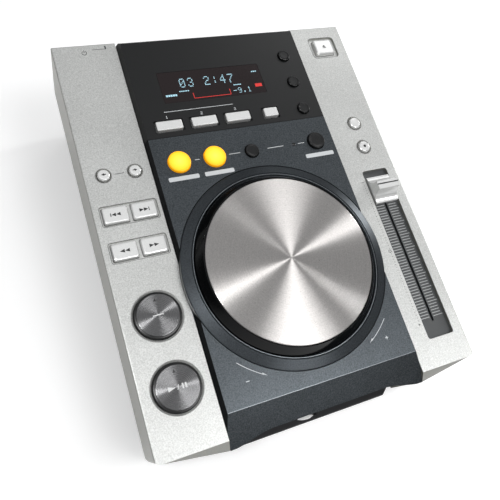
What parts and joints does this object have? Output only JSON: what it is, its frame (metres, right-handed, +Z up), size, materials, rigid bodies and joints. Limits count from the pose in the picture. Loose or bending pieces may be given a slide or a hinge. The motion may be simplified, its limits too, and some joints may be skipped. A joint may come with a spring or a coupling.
{
  "type": "tabletop dj cd player",
  "caption": "Sloping tabletop disc player with a large jog dial, tempo fader, cue and play buttons, display housing and a front disc slot.",
  "frame": {"origin": "centre of the outline on the table, under the rubber feet", "axes": "+X to the right as the player is used, +Y from the front towards the back panel, +Z up"},
  "size_m": [0.2196, 0.295, 0.1053],
  "materials": {
    "silver_paint": "ABS, sprayed with fine satin silver paint",
    "slate_deck": "ABS, sprayed with dark metallic slate paint",
    "slate_ring": "ABS, satin dark metallic",
    "gloss_black": "polished black ABS",
    "smoked_window": "smoked acrylic",
    "black_resin": "moulded black ABS",
    "bearing_resin": "acetal",
    "grey_bed": "moulded dark grey ABS",
    "silver_key": "ABS, sprayed bright silver",
    "amber_lens": "lit amber acrylic",
    "spun_steel": "stainless steel, spun finish",
    "dark_steel": "dark stainless steel, spun finish",
    "plated_steel": "zinc plated",
    "black_steel": "folded steel, fine black powder coat",
    "foot_rubber": "moulded rubber",
    "roller_rubber": "ground rubber",
    "circuit_board": "glass epoxy with green mask",
    "display_glass": "vacuum display behind glass",
    "transformer": "varnished laminations",
    "motor_can": "plated motor cans",
    "jack_brass": "gold plated jack shells"
  },
  "bodies": {
    "case": {"left_cover": "silver_paint", "right_cover": "silver_paint", "center_deck": "slate_deck", "display_housing": "gloss_black", "display_window": "smoked_window", "jog_ring": "slate_ring", "jog_bearing": "bearing_resin", "fader_bed": "grey_bed", "fader_pot": "plated_steel", "slot_fascia": "black_resin", "base_tray": "black_steel", "rear_panel": "black_steel", "feet": "foot_rubber", "case_screws": "plated_steel", "main_board": "circuit_board", "left_board": "circuit_board", "right_board": "circuit_board", "deck_board": "circuit_board", "display_module": "display_glass", "power_unit": "transformer", "drive_frame": "plated_steel", "guide_rods": "plated_steel", "drive_motors": "motor_can", "line_jacks": "jack_brass", "power_inlet": "black_resin"},
    "jog": {"jog_dial": "gloss_black", "jog_plate": "spun_steel", "jog_shaft": "plated_steel"},
    "cue": {"cue_button": "black_resin", "cue_cap": "dark_steel"},
    "play": {"play_button": "black_resin", "play_cap": "dark_steel"},
    "search_back": {"search_back_key": "silver_key"},
    "search_ahead": {"search_ahead_key": "silver_key"},
    "track_back": {"track_back_key": "silver_key"},
    "track_ahead": {"track_ahead_key": "silver_key"},
    "folder_back": {"folder_back_key": "silver_key"},
    "folder_ahead": {"folder_ahead_key": "silver_key"},
    "eject": {"eject_key": "silver_key"},
    "range": {"range_key": "silver_key"},
    "tempo_lock": {"tempo_lock_key": "silver_key"},
    "effect_a": {"effect_key_a": "silver_key"},
    "effect_b": {"effect_key_b": "silver_key"},
    "effect_c": {"effect_key_c": "silver_key"},
    "hold": {"hold_key": "silver_key"},
    "text": {"text_key": "black_resin"},
    "time": {"time_key": "black_resin"},
    "auto_cue": {"auto_cue_key": "black_resin"},
    "loop_in": {"loop_in_key": "amber_lens"},
    "loop_out": {"loop_out_key": "amber_lens"},
    "reloop": {"reloop_key": "black_resin"},
    "beat_loop": {"beat_loop_key": "black_resin"},
    "fader": {"fader_cap": "silver_key", "fader_lever": "plated_steel"},
    "power": {"power_key": "black_resin"},
    "turntable": {"turntable_hub": "black_resin"},
    "sled": {"pickup_sled": "black_resin"},
    "screw": {"feed_screw": "plated_steel"},
    "roller": {"loading_roller": "roller_rubber"},
    "clamp": {"clamp_arm": "plated_steel"}
  },
  "joints": [
    {"name": "jog_turn", "type": "hinge", "parent": "case", "child": "jog", "pos_m": [0, -0.05266, 0.07648], "axis": [0, -0.1392, 0.9903], "continuous": true},
    {"name": "cue_press", "type": "slide", "parent": "case", "child": "cue", "axis": [0, 0.1392, -0.9903], "range_m": [0, 0.0008], "stiffness_N_per_m": 300, "springref_m": -0.0012},
    {"name": "play_press", "type": "slide", "parent": "case", "child": "play", "axis": [0, 0.1392, -0.9903], "range_m": [0, 0.0008], "stiffness_N_per_m": 300, "springref_m": -0.0012},
    {"name": "search_back_press", "type": "slide", "parent": "case", "child": "search_back", "axis": [0, 0.1392, -0.9903], "range_m": [0, 0.0008], "stiffness_N_per_m": 300, "springref_m": -0.0012},
    {"name": "search_ahead_press", "type": "slide", "parent": "case", "child": "search_ahead", "axis": [0, 0.1392, -0.9903], "range_m": [0, 0.0008], "stiffness_N_per_m": 300, "springref_m": -0.0012},
    {"name": "track_back_press", "type": "slide", "parent": "case", "child": "track_back", "axis": [0, 0.1392, -0.9903], "range_m": [0, 0.0008], "stiffness_N_per_m": 300, "springref_m": -0.0012},
    {"name": "track_ahead_press", "type": "slide", "parent": "case", "child": "track_ahead", "axis": [0, 0.1392, -0.9903], "range_m": [0, 0.0008], "stiffness_N_per_m": 300, "springref_m": -0.0012},
    {"name": "folder_back_press", "type": "slide", "parent": "case", "child": "folder_back", "axis": [0, 0.1392, -0.9903], "range_m": [0, 0.0008], "stiffness_N_per_m": 300, "springref_m": -0.0012},
    {"name": "folder_ahead_press", "type": "slide", "parent": "case", "child": "folder_ahead", "axis": [0, 0.1392, -0.9903], "range_m": [0, 0.0008], "stiffness_N_per_m": 300, "springref_m": -0.0012},
    {"name": "eject_press", "type": "slide", "parent": "case", "child": "eject", "axis": [0, 0.1392, -0.9903], "range_m": [0, 0.0008], "stiffness_N_per_m": 300, "springref_m": -0.0012},
    {"name": "range_press", "type": "slide", "parent": "case", "child": "range", "axis": [0, 0.1392, -0.9903], "range_m": [0, 0.0008], "stiffness_N_per_m": 300, "springref_m": -0.0012},
    {"name": "tempo_lock_press", "type": "slide", "parent": "case", "child": "tempo_lock", "axis": [0, 0.1392, -0.9903], "range_m": [0, 0.0008], "stiffness_N_per_m": 300, "springref_m": -0.0012},
    {"name": "effect_a_press", "type": "slide", "parent": "case", "child": "effect_a", "axis": [0, 0.1392, -0.9903], "range_m": [0, 0.0008], "stiffness_N_per_m": 300, "springref_m": -0.0012},
    {"name": "effect_b_press", "type": "slide", "parent": "case", "child": "effect_b", "axis": [0, 0.1392, -0.9903], "range_m": [0, 0.0008], "stiffness_N_per_m": 300, "springref_m": -0.0012},
    {"name": "effect_c_press", "type": "slide", "parent": "case", "child": "effect_c", "axis": [0, 0.1392, -0.9903], "range_m": [0, 0.0008], "stiffness_N_per_m": 300, "springref_m": -0.0012},
    {"name": "hold_press", "type": "slide", "parent": "case", "child": "hold", "axis": [0, 0.1392, -0.9903], "range_m": [0, 0.0008], "stiffness_N_per_m": 300, "springref_m": -0.0012},
    {"name": "text_press", "type": "slide", "parent": "case", "child": "text", "axis": [0, 0.1392, -0.9903], "range_m": [0, 0.0008], "stiffness_N_per_m": 300, "springref_m": -0.0012},
    {"name": "time_press", "type": "slide", "parent": "case", "child": "time", "axis": [0, 0.1392, -0.9903], "range_m": [0, 0.0008], "stiffness_N_per_m": 300, "springref_m": -0.0012},
    {"name": "auto_cue_press", "type": "slide", "parent": "case", "child": "auto_cue", "axis": [0, 0.1392, -0.9903], "range_m": [0, 0.0008], "stiffness_N_per_m": 300, "springref_m": -0.0012},
    {"name": "loop_in_press", "type": "slide", "parent": "case", "child": "loop_in", "axis": [0, 0.1392, -0.9903], "range_m": [0, 0.0008], "stiffness_N_per_m": 300, "springref_m": -0.0012},
    {"name": "loop_out_press", "type": "slide", "parent": "case", "child": "loop_out", "axis": [0, 0.1392, -0.9903], "range_m": [0, 0.0008], "stiffness_N_per_m": 300, "springref_m": -0.0012},
    {"name": "reloop_press", "type": "slide", "parent": "case", "child": "reloop", "axis": [0, 0.1392, -0.9903], "range_m": [0, 0.0008], "stiffness_N_per_m": 300, "springref_m": -0.0012},
    {"name": "beat_loop_press", "type": "slide", "parent": "case", "child": "beat_loop", "axis": [0, 0.1392, -0.9903], "range_m": [0, 0.0008], "stiffness_N_per_m": 300, "springref_m": -0.0012},
    {"name": "fader_slide", "type": "slide", "parent": "case", "child": "fader", "axis": [0, 0.9903, 0.1392], "range_m": [-0.0954, 0.0046]},
    {"name": "power_press", "type": "slide", "parent": "case", "child": "power", "axis": [0, -1, 0], "range_m": [0, 0.003], "stiffness_N_per_m": 300, "springref_m": -0.001},
    {"name": "turntable_spin", "type": "hinge", "parent": "case", "child": "turntable", "pos_m": [0, -0.05949, 0.037], "axis": [0, 0, 1], "continuous": true},
    {"name": "sled_slide", "type": "slide", "parent": "case", "child": "sled", "axis": [0, 1, 0], "range_m": [-0.0018, 0.0247]},
    {"name": "screw_turn", "type": "hinge", "parent": "case", "child": "screw", "pos_m": [0.034, -0.01949, 0.022], "axis": [0, 1, 0], "range_deg": [-220, 2970]},
    {"name": "roller_turn", "type": "hinge", "parent": "case", "child": "roller", "pos_m": [0, -0.12449, 0.0321], "axis": [1, 0, 0], "continuous": true},
    {"name": "clamp_lift", "type": "hinge", "parent": "case", "child": "clamp", "pos_m": [0, 0.00451, 0.047], "axis": [1, 0, 0], "range_deg": [-3, 0]}
  ],
  "couplings": [
    {"joint": "screw_turn", "follows": "sled_slide", "rad_per_m": 2094.4}
  ]
}
